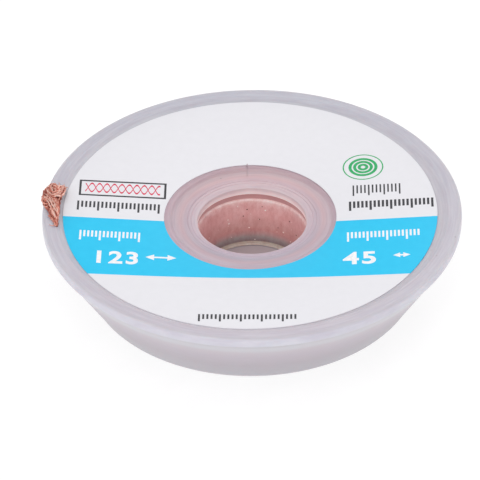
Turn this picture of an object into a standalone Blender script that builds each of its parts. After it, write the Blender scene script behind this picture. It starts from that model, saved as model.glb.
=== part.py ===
"""A bobbin of copper desoldering braid.

Two plastic mouldings make the bobbin. The upper flange is a dished disc with a printed label, and
its sleeve pushes over the hub tube of the lower bowl. The braid is wound in two windings side by
side round the hub. Its end leaves through a notch in the bowl's lip, folds up over the flange's
rim and lies there frayed.

Units are metres, +Z is up, and the origin is the centre of the foot ring that it stands on.
"""

from math import acos, cos, pi, radians, sin

import bmesh
import bpy
from mathutils import Vector

# Overall form
SPOOL_HEIGHT = 0.0109
RIM_RADIUS = 0.0270
BORE_RADIUS = 0.00705
FIT = 0.0003  # gap left between pieces that touch
RING_STEPS = 96

# Upper flange: the rim band round the label's seat
RIM_BAND_WIDTH = 0.0021
RIM_EDGE_HEIGHT = 0.00125
RIM_EDGE_ROUND = 0.0004
RIM_FALL = 0.00012  # how far the band's outer part slopes down
RIM_CREASE_INSET = 0.0017
SKIRT_WALL = 0.0009
SKIRT_DEPTH = 0.0010
FLANGE_THICKNESS = 0.0009

# Upper flange: the well round the hub, and the collar and sleeve below it
COVE_WIDTH = 0.0006
COVE_DEPTH = 0.00035
WELL_WIDTH = 0.0010
SHOULDER_WIDTH = 0.00195
SHOULDER_DROP = 0.00035
COLLAR_LEVEL = 0.00305
SLEEVE_WALL = 0.0008
SLEEVE_OVERLAP = 0.0016

# Label, stuck on a little off the bobbin's axis
LABEL_OFFSET = 0.0003
LABEL_THICKNESS = 0.00015
LABEL_DISH = 0.00084
LABEL_STEP_DOWN = 0.00039

# Lower bowl
LIP_INSET = 0.0004
LIP_WIDTH = 0.0010
LIP_FLARE = 0.0011
WALL_TOP_LEVEL = 0.0035
WALL_RUN = 0.0038  # how far the sloping wall comes in from its top to its foot
BOWL_WALL = 0.0010
FOOT_CORNER_WIDTH = 0.0013
FOOT_CORNER_HEIGHT = 0.0014
FOOT_WIDTH = 0.0018
HUB_RING_WIDTH = 0.0015
FLOOR_RAISE = 0.0005
FLOOR_THICKNESS = 0.0011
FLOOR_CORNER = 0.0008
HUB_WALL = 0.0009
HUB_GROOVE = 0.00055
BORE_TAPER = 0.0002
BORE_BEAD_WIDTH = 0.00055
BORE_BEAD_HEIGHT = 0.0003

# Copper braid, as wound
BRAID_WIDTH = 0.0025
BRAID_THICKNESS = 0.00055
WINDINGS = 2
WINDING_GAP = 0.0002
TURNS = 10
TURN_GROOVE = 0.00015
ROLL_STEPS = 60

# Free end of the braid, from the roll to the frayed wisp on the rim
EXIT_AZIMUTH = radians(173.8)
FREE_WIDTH = 0.0036
FREE_THICKNESS = 0.0004
TWIST_STEPS = 8
WISP_GAP = 0.0002
WISP_BACK = 0.0026
WISP_FORWARD = 0.0072
WISP_WIDTH = 0.0022
WISP_TIP_INSET = 0.0014
WISP_HEIGHT = 0.0006
WISP_STEPS = 8
WISP_PROFILE = [(-1.0, 0.0), (1.0, 0.0), (0.85, 0.6), (0.4, 1.0), (-0.4, 1.0), (-0.85, 0.6)]
WISP_TAPER = 0.9  # share of the way to the tip's width that the sides come in
WISP_TAPER_POWER = 1.5
WISP_END_HEIGHT = 0.55  # share of its full height that the wisp has at its back end
WISP_CREST = 1.6  # how much sooner than the middle the wisp is highest

# Radii, from the bore outwards
HUB_RADIUS = BORE_RADIUS + HUB_WALL
SLEEVE_INNER_RADIUS = HUB_RADIUS + FIT
SLEEVE_RADIUS = SLEEVE_INNER_RADIUS + SLEEVE_WALL
SHOULDER_RADIUS = BORE_RADIUS + SHOULDER_WIDTH
SEAT_INNER_RADIUS = SHOULDER_RADIUS + WELL_WIDTH + COVE_WIDTH
SEAT_RADIUS = RIM_RADIUS - RIM_BAND_WIDTH
LABEL_RADIUS = SEAT_RADIUS - FIT - LABEL_OFFSET
LABEL_HOLE_RADIUS = SEAT_INNER_RADIUS + FIT + LABEL_OFFSET
LIP_RADIUS = RIM_RADIUS - LIP_INSET
LIP_INNER_RADIUS = LIP_RADIUS - LIP_WIDTH
SKIRT_RADIUS = LIP_INNER_RADIUS - 2 * FIT
WALL_TOP_RADIUS = LIP_RADIUS - LIP_FLARE
WALL_FOOT_RADIUS = WALL_TOP_RADIUS - WALL_RUN
FOOT_RADIUS = WALL_FOOT_RADIUS - FOOT_CORNER_WIDTH
ROLL_BORE_RADIUS = SLEEVE_RADIUS + FIT
ROLL_RADIUS = ROLL_BORE_RADIUS + TURNS * BRAID_THICKNESS

# Levels above the surface that the bobbin stands on
RIM_TOP = SPOOL_HEIGHT
RIM_UNDERSIDE = RIM_TOP - RIM_EDGE_HEIGHT
SKIRT_BOTTOM = RIM_UNDERSIDE - SKIRT_DEPTH
LIP_TOP = RIM_UNDERSIDE - FIT
WALL_TOP = RIM_TOP - WALL_TOP_LEVEL
COLLAR_BOTTOM = RIM_TOP - COLLAR_LEVEL
HUB_TOP = COLLAR_BOTTOM - HUB_GROOVE
SLEEVE_BOTTOM = HUB_TOP - SLEEVE_OVERLAP
LABEL_EDGE_TOP = RIM_TOP - LABEL_STEP_DOWN
FLOOR_TOP = FLOOR_RAISE + FLOOR_THICKNESS
ROLL_BOTTOM = FLOOR_TOP + FIT
ROLL_TOP = ROLL_BOTTOM + WINDINGS * BRAID_WIDTH + (WINDINGS - 1) * WINDING_GAP
FREE_LEVEL = SKIRT_BOTTOM - WISP_GAP - FREE_THICKNESS / 2
NOTCH_BOTTOM = FREE_LEVEL - FREE_THICKNESS / 2 - FIT


def clear_scene():
    for old in list(bpy.data.objects):
        bpy.data.objects.remove(old, do_unlink=True)


def simple_material(name, colour, roughness, metallic=0.0):
    material = bpy.data.materials.new(name)
    material.use_nodes = True
    shader = material.node_tree.nodes["Principled BSDF"]
    shader.inputs["Base Color"].default_value = (*colour, 1.0)
    shader.inputs["Roughness"].default_value = roughness
    shader.inputs["Metallic"].default_value = metallic
    return material


def arc(centre, radii, start, end, steps):
    """Points (radius, height) along part of an ellipse, in degrees, both ends included."""
    angles = [radians(start + (end - start) * k / steps) for k in range(steps + 1)]
    return [(centre[0] + radii[0] * cos(a), centre[1] + radii[1] * sin(a)) for a in angles]


def add_object(name, bm, material, sharp_angle=30):
    bmesh.ops.recalc_face_normals(bm, faces=bm.faces)
    mesh = bpy.data.meshes.new(name)
    bm.to_mesh(mesh)
    bm.free()
    mesh.shade_smooth()
    mesh.set_sharp_from_angle(angle=radians(sharp_angle))
    mesh.materials.append(material)
    made = bpy.data.objects.new(name, mesh)
    bpy.context.collection.objects.link(made)
    return made


def apply_shape(target, tool, operation):
    """Cuts or joins another object's shape by a Boolean modifier, and leaves that object as a guide."""
    tool.hide_render = True
    tool.display_type = "WIRE"
    boolean = target.modifiers.new(tool.name, "BOOLEAN")
    boolean.operation = operation
    boolean.object = tool


def turned(outline, steps):
    """Spins a closed outline of (radius, height) points round the Z axis."""
    bm = bmesh.new()
    verts = [bm.verts.new((radius, 0.0, height)) for radius, height in outline]
    edges = [bm.edges.new((a, b)) for a, b in zip(verts, verts[1:] + verts[:1])]
    bmesh.ops.spin(
        bm, geom=verts + edges, cent=(0, 0, 0), axis=(0, 0, 1), angle=2 * pi, steps=steps, use_merge=True
    )
    return bm


def loft(sections):
    """A closed body through sections that all have the same number of corners."""
    bm = bmesh.new()
    loops = []
    for corners in sections:
        verts = [bm.verts.new(corner) for corner in corners]
        loops.append([bm.edges.new((a, b)) for a, b in zip(verts, verts[1:] + verts[:1])])
    for first, second in zip(loops, loops[1:]):
        bmesh.ops.bridge_loops(bm, edges=first + second)
    for end in (loops[0], loops[-1]):
        bmesh.ops.contextual_create(bm, geom=end)
    return bm


def around(azimuth):
    """Outward and along-the-rim directions at an azimuth."""
    return Vector((cos(azimuth), sin(azimuth), 0.0)), Vector((-sin(azimuth), cos(azimuth), 0.0))


def label_top(radius):
    """Height of the label's printed face, which dips evenly towards the hub."""
    share = (LABEL_RADIUS - radius) / (LABEL_RADIUS - LABEL_HOLE_RADIUS)
    return LABEL_EDGE_TOP - LABEL_DISH * share


def seat_level(radius):
    """Height of the flange's dished face under the label."""
    return label_top(radius) - LABEL_THICKNESS - FIT


def make_flange():
    cove_top = label_top(SEAT_INNER_RADIUS) - LABEL_THICKNESS
    well_level = cove_top - COVE_DEPTH
    band_edge = RIM_TOP - RIM_FALL
    edge_centre = (RIM_RADIUS - RIM_EDGE_ROUND, band_edge - RIM_EDGE_ROUND)
    skirt_inner = SKIRT_RADIUS - SKIRT_WALL
    outline = [
        (BORE_RADIUS, COLLAR_BOTTOM),
        *arc((SHOULDER_RADIUS, well_level - SHOULDER_DROP), (SHOULDER_WIDTH, SHOULDER_DROP), 180, 90, 5),
        (SHOULDER_RADIUS + WELL_WIDTH, well_level),
        (SEAT_INNER_RADIUS - COVE_WIDTH / 3, well_level + COVE_DEPTH / 3),
        (SEAT_INNER_RADIUS, cove_top),
        (SEAT_INNER_RADIUS, seat_level(SEAT_INNER_RADIUS)),
        (SEAT_RADIUS, seat_level(SEAT_RADIUS)),
        (SEAT_RADIUS, label_top(SEAT_RADIUS)),
        (RIM_RADIUS - RIM_CREASE_INSET, RIM_TOP),
        *arc(edge_centre, (RIM_EDGE_ROUND, RIM_EDGE_ROUND), 85, 0, 3),
        (RIM_RADIUS, RIM_UNDERSIDE),
        (SKIRT_RADIUS, RIM_UNDERSIDE),
        (SKIRT_RADIUS, SKIRT_BOTTOM),
        (skirt_inner, SKIRT_BOTTOM),
        (skirt_inner, seat_level(skirt_inner) - FLANGE_THICKNESS),
        (SLEEVE_RADIUS, seat_level(SLEEVE_RADIUS) - FLANGE_THICKNESS),
        (SLEEVE_RADIUS, SLEEVE_BOTTOM),
        (SLEEVE_INNER_RADIUS, SLEEVE_BOTTOM),
        (SLEEVE_INNER_RADIUS, COLLAR_BOTTOM),
    ]
    frosted = simple_material("frosted_flange_plastic", (0.57, 0.56, 0.62), 0.45)
    return add_object("upper_flange", turned(outline, RING_STEPS), frosted)


def make_label():
    outline = [
        (LABEL_HOLE_RADIUS, label_top(LABEL_HOLE_RADIUS)),
        (LABEL_RADIUS, label_top(LABEL_RADIUS)),
        (LABEL_RADIUS, label_top(LABEL_RADIUS) - LABEL_THICKNESS),
        (LABEL_HOLE_RADIUS, label_top(LABEL_HOLE_RADIUS) - LABEL_THICKNESS),
    ]
    paper = simple_material("label_paper", (0.83, 0.82, 0.86), 0.4)
    label = add_object("face_label", turned(outline, RING_STEPS), paper)
    label.location.x = -LABEL_OFFSET
    return label


def bowl_outline():
    foot_corner = arc((FOOT_RADIUS, FOOT_CORNER_HEIGHT), (FOOT_CORNER_WIDTH, FOOT_CORNER_HEIGHT), -90, -15, 4)
    floor_corner = arc(
        (WALL_FOOT_RADIUS - BOWL_WALL - FLOOR_CORNER, FLOOR_TOP + FLOOR_CORNER),
        (FLOOR_CORNER, FLOOR_CORNER),
        -15,
        -90,
        3,
    )
    return [
        (FOOT_RADIUS - FOOT_WIDTH, 0.0),
        *foot_corner,
        (WALL_TOP_RADIUS, WALL_TOP),
        (LIP_RADIUS, LIP_TOP),
        (LIP_INNER_RADIUS, LIP_TOP),
        (WALL_TOP_RADIUS - BOWL_WALL, WALL_TOP),
        *floor_corner,
        (HUB_RADIUS, FLOOR_TOP),
        (HUB_RADIUS, HUB_TOP),
        (BORE_RADIUS, HUB_TOP),
        (BORE_RADIUS - BORE_TAPER, BORE_BEAD_HEIGHT),
        (BORE_RADIUS - BORE_TAPER - BORE_BEAD_WIDTH, BORE_BEAD_HEIGHT),
        (BORE_RADIUS - BORE_TAPER - BORE_BEAD_WIDTH, 0.0),
        (BORE_RADIUS + HUB_RING_WIDTH, 0.0),
        (BORE_RADIUS + HUB_RING_WIDTH, FLOOR_RAISE),
        (FOOT_RADIUS - FOOT_WIDTH, FLOOR_RAISE),
    ]


def make_bowl():
    frosted = simple_material("frosted_bowl_plastic", (0.52, 0.49, 0.53), 0.45)
    bowl = add_object("lower_bowl", turned(bowl_outline(), RING_STEPS), frosted)
    outward, _ = around(EXIT_AZIMUTH)
    inner = WALL_TOP_RADIUS - 2 * BOWL_WALL
    size = Vector((RIM_RADIUS - inner, FREE_WIDTH + 2 * FIT, RIM_TOP - NOTCH_BOTTOM))
    bm = bmesh.new()
    bmesh.ops.create_cube(bm, size=1.0)
    bmesh.ops.scale(bm, vec=size, verts=bm.verts)
    notch = add_object("braid_notch", bm, frosted)
    notch.location = outward * (inner + size.x / 2)
    notch.location.z = NOTCH_BOTTOM + size.z / 2
    notch.rotation_euler.z = EXIT_AZIMUTH
    apply_shape(bowl, notch, "DIFFERENCE")
    return bowl


def roll_outline():
    """Section of the wound roll, with a ridge for each turn and a seam between the windings."""
    middle = (ROLL_BOTTOM + ROLL_TOP) / 2
    upper_end = []
    for turn in range(TURNS):
        inner = ROLL_BORE_RADIUS + turn * BRAID_THICKNESS
        upper_end.append((inner, ROLL_TOP - TURN_GROOVE))
        upper_end.append((inner + BRAID_THICKNESS / 2, ROLL_TOP))
    upper_end.append((ROLL_RADIUS, ROLL_TOP - TURN_GROOVE))
    seam = [
        (ROLL_RADIUS, middle + WINDING_GAP),
        (ROLL_RADIUS - WINDING_GAP, middle),
        (ROLL_RADIUS, middle - WINDING_GAP),
    ]
    lower_end = [(radius, 2 * middle - height) for radius, height in reversed(upper_end)]
    return upper_end + seam + lower_end


def strip_corners(middle, across, normal, width):
    half_width, half_thickness = across * width / 2, normal * FREE_THICKNESS / 2
    return [
        middle - half_width - half_thickness,
        middle + half_width - half_thickness,
        middle + half_width + half_thickness,
        middle - half_width + half_thickness,
    ]


def twisted_run():
    """The braid leaves the outermost turn on edge and turns flat on its way to the notch."""
    outward, _ = around(EXIT_AZIMUTH)
    up = Vector((0.0, 0.0, 1.0))
    roll_middle = ROLL_RADIUS - BRAID_THICKNESS / 2
    end_radius = SKIRT_RADIUS - SKIRT_WALL - FREE_WIDTH
    leaving, _ = around(EXIT_AZIMUTH - acos(roll_middle / end_radius))
    start = leaving * roll_middle + up * (ROLL_TOP - (BRAID_WIDTH + TURN_GROOVE) / 2)
    end = outward * end_radius + up * FREE_LEVEL
    run = end - start
    side = Vector((-run.y, run.x, 0.0)).normalized()
    sections = []
    for step in range(TWIST_STEPS + 1):
        share = step / TWIST_STEPS
        turn = share * pi / 2
        across = up * cos(turn) + side * sin(turn)
        normal = side * cos(turn) - up * sin(turn)
        width = BRAID_WIDTH + (FREE_WIDTH - BRAID_WIDTH) * share
        sections.append(strip_corners(start.lerp(end, share), across, normal, width))
    return sections


def fold_over_rim():
    """The flat braid goes out through the notch, up past the rim's edge and back onto the rim."""
    outward, along = around(EXIT_AZIMUTH)
    outside = RIM_RADIUS + WISP_GAP + FREE_THICKNESS / 2
    on_rim = RIM_TOP + WISP_GAP + FREE_THICKNESS / 2
    route = [
        (LIP_INNER_RADIUS, FREE_LEVEL, 0),
        (LIP_RADIUS, FREE_LEVEL, 20),
        (outside - FREE_THICKNESS / 2, (FREE_LEVEL + RIM_UNDERSIDE) / 2, 60),
        (outside, RIM_UNDERSIDE, 90),
        (outside, RIM_TOP - RIM_EDGE_ROUND, 90),
        (outside - FREE_THICKNESS, on_rim - FREE_THICKNESS / 4, 150),
        (RIM_RADIUS - WISP_WIDTH / 2, on_rim, 180),
    ]
    sections = []
    for radius, height, lean in route:
        middle = outward * radius
        middle.z = height
        normal = outward * sin(radians(lean))
        normal.z = -cos(radians(lean))
        sections.append(strip_corners(middle, along, normal, FREE_WIDTH))
    return sections


def wisp_sections():
    """The frayed wires on the rim, as one low wedge that follows the rim and ends in a tip."""
    outer_back, outer_tip = RIM_RADIUS, RIM_RADIUS - WISP_TIP_INSET
    inner_back, inner_tip = RIM_RADIUS - WISP_WIDTH, outer_tip
    sections = []
    for step in range(WISP_STEPS + 1):
        share = step / WISP_STEPS
        narrowed = WISP_TAPER * share**WISP_TAPER_POWER
        outer = outer_back + (outer_tip - outer_back) * narrowed
        inner = inner_back + (inner_tip - inner_back) * narrowed
        crown = sin(pi * min(1.0, share * WISP_CREST))
        height = WISP_HEIGHT * (WISP_END_HEIGHT + (1 - WISP_END_HEIGHT) * crown) * (1 - share / 2)
        travel = share * (WISP_BACK + WISP_FORWARD) - WISP_BACK
        outward, _ = around(EXIT_AZIMUTH + travel / RIM_RADIUS)
        corners = []
        for across, rise in WISP_PROFILE:
            corner = outward * ((outer + inner) / 2 + across * (outer - inner) / 2)
            corner.z = RIM_TOP + WISP_GAP + rise * height
            corners.append(corner)
        sections.append(corners)
    return sections


def make_braid():
    copper = simple_material("braid_copper", (0.72, 0.32, 0.22), 0.4, 1.0)
    braid = add_object("copper_braid", turned(roll_outline(), ROLL_STEPS), copper)
    free_run = add_object("free_run", loft(twisted_run() + fold_over_rim()), copper)
    wisp = add_object("frayed_wisp", loft(wisp_sections()), copper)
    apply_shape(braid, free_run, "UNION")
    apply_shape(braid, wisp, "UNION")
    return braid


clear_scene()
make_bowl()
make_braid()
make_flange()
make_label()
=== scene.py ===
"""Looks of a bobbin of copper desoldering braid, lying on its bowl with the label up.

The sections follow the object as it is put together: the bowl, the braid wound on its hub, the
flange pushed on, the label and its print, and the braid's free end over the rim. The plain studio
comes last. Lengths are in metres, in the CAD's frame.
"""

from math import acos, cos, hypot, pi, radians, sin, sqrt
from random import Random

import bmesh
import bpy
from mathutils import Matrix, Vector


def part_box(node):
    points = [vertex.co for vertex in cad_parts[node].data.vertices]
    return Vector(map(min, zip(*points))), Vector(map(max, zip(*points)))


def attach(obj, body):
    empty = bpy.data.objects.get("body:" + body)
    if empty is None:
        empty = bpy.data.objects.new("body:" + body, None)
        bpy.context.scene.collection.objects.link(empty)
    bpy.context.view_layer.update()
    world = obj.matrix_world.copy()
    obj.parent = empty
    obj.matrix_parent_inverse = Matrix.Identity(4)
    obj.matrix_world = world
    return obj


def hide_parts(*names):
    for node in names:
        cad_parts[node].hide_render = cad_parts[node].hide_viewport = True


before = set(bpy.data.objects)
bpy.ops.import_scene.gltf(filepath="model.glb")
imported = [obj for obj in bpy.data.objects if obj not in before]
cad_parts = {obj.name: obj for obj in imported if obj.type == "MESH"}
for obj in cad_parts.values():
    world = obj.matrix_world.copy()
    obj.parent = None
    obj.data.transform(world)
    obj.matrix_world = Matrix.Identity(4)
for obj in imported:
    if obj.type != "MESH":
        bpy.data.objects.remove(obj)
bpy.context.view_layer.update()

# Lower bowl: one moulding of natural polypropylene, frosted by the mould's fine blasted skin. A
# foot ring carries the raised floor, the sloping wall flares into the lip under the flange, and the
# hub tube stands on the floor, with a bead round the bottom of its bore. A notch in the lip lets the
# braid out.
bowl_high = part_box("lower_bowl")[1]
LIP_RADIUS = bowl_high.x
LIP_TOP = bowl_high.z + 0.00015  # closes the CAD's clearance to the thin seam that shows
LIP_WIDTH = 0.0010
WALL_TOP_RADIUS = LIP_RADIUS - 0.0011
WALL_TOP = 0.0074
WALL_FOOT_RADIUS = WALL_TOP_RADIUS - 0.0038
BOWL_WALL = 0.0010
FOOT_CORNER = (0.0013, 0.0014)
FOOT_RADIUS = WALL_FOOT_RADIUS - FOOT_CORNER[0]
FOOT_WIDTH = 0.0018
FLOOR_RAISE = 0.0005
FLOOR_TOP = 0.0016
BORE_RADIUS = 0.00705
BORE_TAPER = 0.0002
BEAD_WIDTH = 0.00055
BEAD_HEIGHT = 0.0003
HUB_RADIUS = 0.00795
HUB_TOP = 0.0070
HUB_RING = 0.0015
NOTCH_AZIMUTH = radians(173.8)
NOTCH_SIZE = (0.006, 0.0042, 0.004)
NOTCH_ROUND = 0.0005
NOTCH_BOTTOM = 0.00775
RING_STEPS = 192
SHARP_EDGE = 32  # degrees, past which a bend between two faces shows as an edge
TUBE_GLOW = 0.10  # the light that comes to the bore through the milky plastic round it
UNDERSIDE = 0.00012
PER_MM = 1000.0  # makes a texture's scale of how many of its features there are to a millimetre
COLOUR_A, COLOUR_B, COLOUR_OUT = 6, 7, 2  # a Mix node's sockets for colours


def rounded(corners, steps=5):
    """Outline through (radius, height, reach) corners, each rounded from that reach on both sides."""
    outline = []
    for index, (radius, height, reach) in enumerate(corners):
        here = Vector((radius, height))
        if not reach:
            outline.append(here)
            continue
        back = Vector(corners[index - 1][:2]) - here
        ahead = Vector(corners[(index + 1) % len(corners)][:2]) - here
        start = here + back.normalized() * min(reach, back.length * 0.49)
        end = here + ahead.normalized() * min(reach, ahead.length * 0.49)
        for step in range(steps + 1):
            share = step / steps
            outline.append(start.lerp(here, share).lerp(here.lerp(end, share), share))
    return outline


def turned(outline):
    """Spins a closed outline of (radius, height) points round the bobbin's axis."""
    bm = bmesh.new()
    verts = [bm.verts.new((radius, 0.0, height)) for radius, height in outline]
    edges = [bm.edges.new((a, b)) for a, b in zip(verts, verts[1:] + verts[:1])]
    bmesh.ops.spin(
        bm, geom=verts + edges, cent=(0, 0, 0), axis=(0, 0, 1), angle=2 * pi,
        steps=RING_STEPS, use_merge=True,
    )
    return bm


def add_piece(name, bm, piece_material, sharp=SHARP_EDGE):
    """Makes a mesh piece of a bmesh, smooth except at edges sharper than the given degrees."""
    bmesh.ops.recalc_face_normals(bm, faces=bm.faces)
    mesh = bpy.data.meshes.new(name)
    bm.to_mesh(mesh)
    bm.free()
    mesh.shade_smooth()
    mesh.set_sharp_from_angle(angle=radians(sharp))
    mesh.materials.append(piece_material)
    piece = bpy.data.objects.new(name, mesh)
    bpy.context.collection.objects.link(piece)
    return piece


def cut(piece, tool):
    """Cuts the tool's shape out of the piece for good, and removes the tool."""
    boolean = piece.modifiers.new("cut", "BOOLEAN")
    boolean.solver = "EXACT"
    boolean.object = tool
    bpy.context.view_layer.update()
    evaluated = piece.evaluated_get(bpy.context.evaluated_depsgraph_get())
    mesh = bpy.data.meshes.new_from_object(evaluated)
    piece.modifiers.clear()
    piece.data = mesh
    bpy.data.objects.remove(tool, do_unlink=True)
    mesh.set_sharp_from_angle(angle=radians(SHARP_EDGE))


def linear(colour):
    """A linear RGBA colour from an sRGB hex value such as C9C7CE."""
    channels = [int(colour[k : k + 2], 16) / 255 for k in (0, 2, 4)]
    return (*[c / 12.92 if c <= 0.04045 else ((c + 0.055) / 1.055) ** 2.4 for c in channels], 1.0)


def set_inputs(tree, node, inputs):
    """Sets or links a node's inputs, each given as (socket, value or link)."""
    for socket, value in inputs:
        if isinstance(value, bpy.types.Node):
            value = value.outputs[0]
        if isinstance(value, bpy.types.NodeSocket):
            tree.links.new(value, node.inputs[socket])
        else:
            node.inputs[socket].default_value = value


def add_node(tree, kind, inputs=(), stops=(), **settings):
    """Adds a node with its settings, its inputs and, for a ramp, its colour stops in order."""
    node = tree.nodes.new("ShaderNode" + kind)
    for name, value in settings.items():
        setattr(node, name, value)
    set_inputs(tree, node, inputs)
    if stops:
        elements = node.color_ramp.elements
        elements[0].position, elements[1].position = stops[0][0], stops[-1][0]
        for place, _ in stops[1:-1]:
            elements.new(place)
        for element, (_, colour) in zip(elements, stops):
            element.color = linear(colour)
    return node


def new_material(name):
    """A node material, its tree, the place of a point on the piece, and its shader, still plain."""
    material = bpy.data.materials.new(name)
    material.use_nodes = True
    tree = material.node_tree
    tree.nodes.clear()
    shader = add_node(tree, "BsdfPrincipled")
    add_node(tree, "OutputMaterial", [("Surface", shader)])
    return material, tree, add_node(tree, "TexCoord").outputs["Object"], shader


def axis_radius(tree, place):
    """Distance from the bobbin's axis at a point, in metres."""
    flat = add_node(tree, "VectorMath", [(0, place), (1, (1.0, 1.0, 0.0))], operation="MULTIPLY")
    return add_node(tree, "VectorMath", [(0, flat)], operation="LENGTH").outputs["Value"]


def moulded_skin(tree, place, radius, ring_spacing, ring_depth):
    """Blasted skin of a mould, with the faint rings that turning left in it, as a bump normal."""
    grain = add_node(tree, "TexNoise", [("Vector", place), ("Scale", 5.2 * PER_MM), ("Detail", 3.0)])
    sink = add_node(tree, "TexNoise", [("Vector", place), ("Scale", 0.26 * PER_MM), ("Detail", 2.0)])
    across = add_node(tree, "CombineXYZ", [("X", radius)])
    turning = [("Vector", across), ("Scale", 1 / ring_spacing), ("Detail", 2.0), ("Roughness", 0.7)]
    rings = add_node(tree, "TexNoise", turning)
    blasted = add_node(tree, "Bump", [("Height", grain), ("Distance", 0.00001), ("Strength", 0.5)])
    sunk = add_node(tree, "Bump", [("Height", sink), ("Distance", 0.00012), ("Normal", blasted)])
    return add_node(tree, "Bump", [("Height", rings), ("Distance", ring_depth), ("Normal", sunk)])


def dotted(tree, place, under, colour, spacing, rarest, core, edge, strength=1.0):
    """Small round spots of a colour over another look, in the few cells of that spacing past rarest."""
    cell = add_node(tree, "TexVoronoi", [("Vector", place), ("Scale", 1 / spacing), ("Randomness", 1.0)])
    rare = add_node(tree, "Math", [(0, cell.outputs["Color"]), (1, rarest)], operation="GREATER_THAN")
    fading = [("Value", cell.outputs["Distance"]), ("From Min", core), ("From Max", edge)]
    dot = add_node(tree, "MapRange", [*fading, ("To Min", strength), ("To Max", 0.0)])
    spot = add_node(tree, "Math", [(0, rare), (1, dot)], operation="MULTIPLY")
    spotted = [("Factor", spot), (COLOUR_A, under), (COLOUR_B, linear(colour))]
    return add_node(tree, "Mix", spotted, data_type="RGBA").outputs[COLOUR_OUT]


# Natural polypropylene is milky: light enters it, so it has a soft lavender-grey body and shows the
# copper behind it as a pink tint. The tint is strongest on the hub tube, which the roll surrounds.
# Below the roll the tube shows grey. The tube's tone is painted darker the deeper it lies, painted shade.
# The bead at its bottom is painted lighter and straw-coloured, a painted highlight for the light its
# top catches. Small air bubbles shine in it, and a few specks of flux are dark.
bowl_plastic, tree, place, shader = new_material("natural_polypropylene_bowl")
spread = add_node(tree, "SeparateXYZ", [("Vector", place)])
height = spread.outputs["Z"]
radius = axis_radius(tree, place)
level = add_node(tree, "MapRange", [("Value", height), ("From Min", 0.0), ("From Max", 0.010)])
# Painted shade and light: the wall's tone darkens towards the foot and lightens up at the lip, with a faint
# pink band where the roll lies behind the wall.
WALL_STOPS = [
    (0.0, "BCB7BE"), (0.10, "B7B3BA"), (0.35, "B4ACB4"), (0.60, "BCB2BC"), (0.74, "C3BAC2"),
    (0.82, "C9C6CD"), (1.0, "CBC8CE"),
]
# Painted shade in the bore: the tube's tone darkens the deeper it lies. The bead's straw tone at the bottom
# is a painted highlight.
TUBE_STOPS = [
    (0.0, "CCC2B6"), (0.034, "C8BEB2"), (0.045, "8E8386"), (0.11, "A8A4A4"), (0.16, "C6A8A8"),
    (0.22, "D6A6A3"), (0.29, "DBAFAC"), (0.49, "EDBDBC"), (0.59, "F0C3C2"), (0.645, "F6CFCE"),
    (0.70, "FADEDC"), (1.0, "FFF4F4"),
]
wall_tone = add_node(tree, "ValToRGB", [("Fac", level)], WALL_STOPS)
tube_tone = add_node(tree, "ValToRGB", [("Fac", level)], TUBE_STOPS)
drawn = add_node(tree, "VectorMath", [(0, place), (1, (1.0, 1.0, 0.55))], operation="MULTIPLY")
blotch_look = [("Vector", drawn), ("Scale", 1.1 * PER_MM), ("Detail", 7.0), ("Roughness", 0.8)]
blotch = add_node(tree, "TexNoise", blotch_look)
blotch_tone = add_node(tree, "ValToRGB", [("Fac", blotch)], [(0.34, "D49A94"), (0.62, "FFFFFF")])
mottled = add_node(
    tree,
    "Mix",
    [("Factor", 0.5), (COLOUR_A, tube_tone), (COLOUR_B, blotch_tone)],
    data_type="RGBA",
    blend_type="MULTIPLY",
)
# Painted shade: the tube is darker at its left and right sides.
sideways = add_node(tree, "Math", [(0, spread.outputs["X"])], operation="ABSOLUTE")
sideways = add_node(tree, "Math", [(0, sideways), (1, radius)], operation="DIVIDE")
sideways = add_node(tree, "MapRange", [("Value", sideways), ("From Min", 0.5), ("To Max", 0.5)])
tube_look = add_node(
    tree,
    "Mix",
    [("Factor", sideways), (COLOUR_A, mottled.outputs[COLOUR_OUT]), (COLOUR_B, linear("D0BCC0"))],
    data_type="RGBA",
    blend_type="MULTIPLY",
).outputs[COLOUR_OUT]
tube_look = dotted(tree, place, tube_look, "FFF6F2", 0.0007, 0.66, 0.108, 0.18)
tube_look = dotted(tree, place, tube_look, "7C3F38", 0.0010, 0.70, 0.084, 0.14)
past_tube = [("Value", radius), ("From Min", HUB_RADIUS + 0.00025), ("From Max", HUB_RADIUS + 0.00065)]
on_tube = add_node(tree, "MapRange", [*past_tube, ("To Min", 1.0), ("To Max", 0.0)])
under = add_node(tree, "Math", [(0, height), (1, UNDERSIDE)], operation="LESS_THAN")
on_tube = add_node(tree, "Math", [(0, on_tube), (1, under)], operation="SUBTRACT", use_clamp=True)
body = [("Factor", on_tube), (COLOUR_A, wall_tone), (COLOUR_B, tube_look)]
body_tone = add_node(tree, "Mix", body, data_type="RGBA").outputs[COLOUR_OUT]
# Painted light: the tube glows a little in its own tone, standing in for light that comes through the
# plastic.
glow = add_node(tree, "Math", [(0, on_tube), (1, TUBE_GLOW)], operation="MULTIPLY")
skin = moulded_skin(tree, place, radius, 0.0006, 0.00001)
set_inputs(tree, shader, [
    ("Base Color", body_tone),
    ("Roughness", 0.42),
    ("IOR", 1.49),
    ("Subsurface Weight", 0.5),
    ("Subsurface Radius", (0.0024, 0.0016, 0.0015)),
    ("Subsurface Scale", 1.0),
    ("Emission Color", body_tone),
    ("Emission Strength", glow),
    ("Normal", skin),
])

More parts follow.
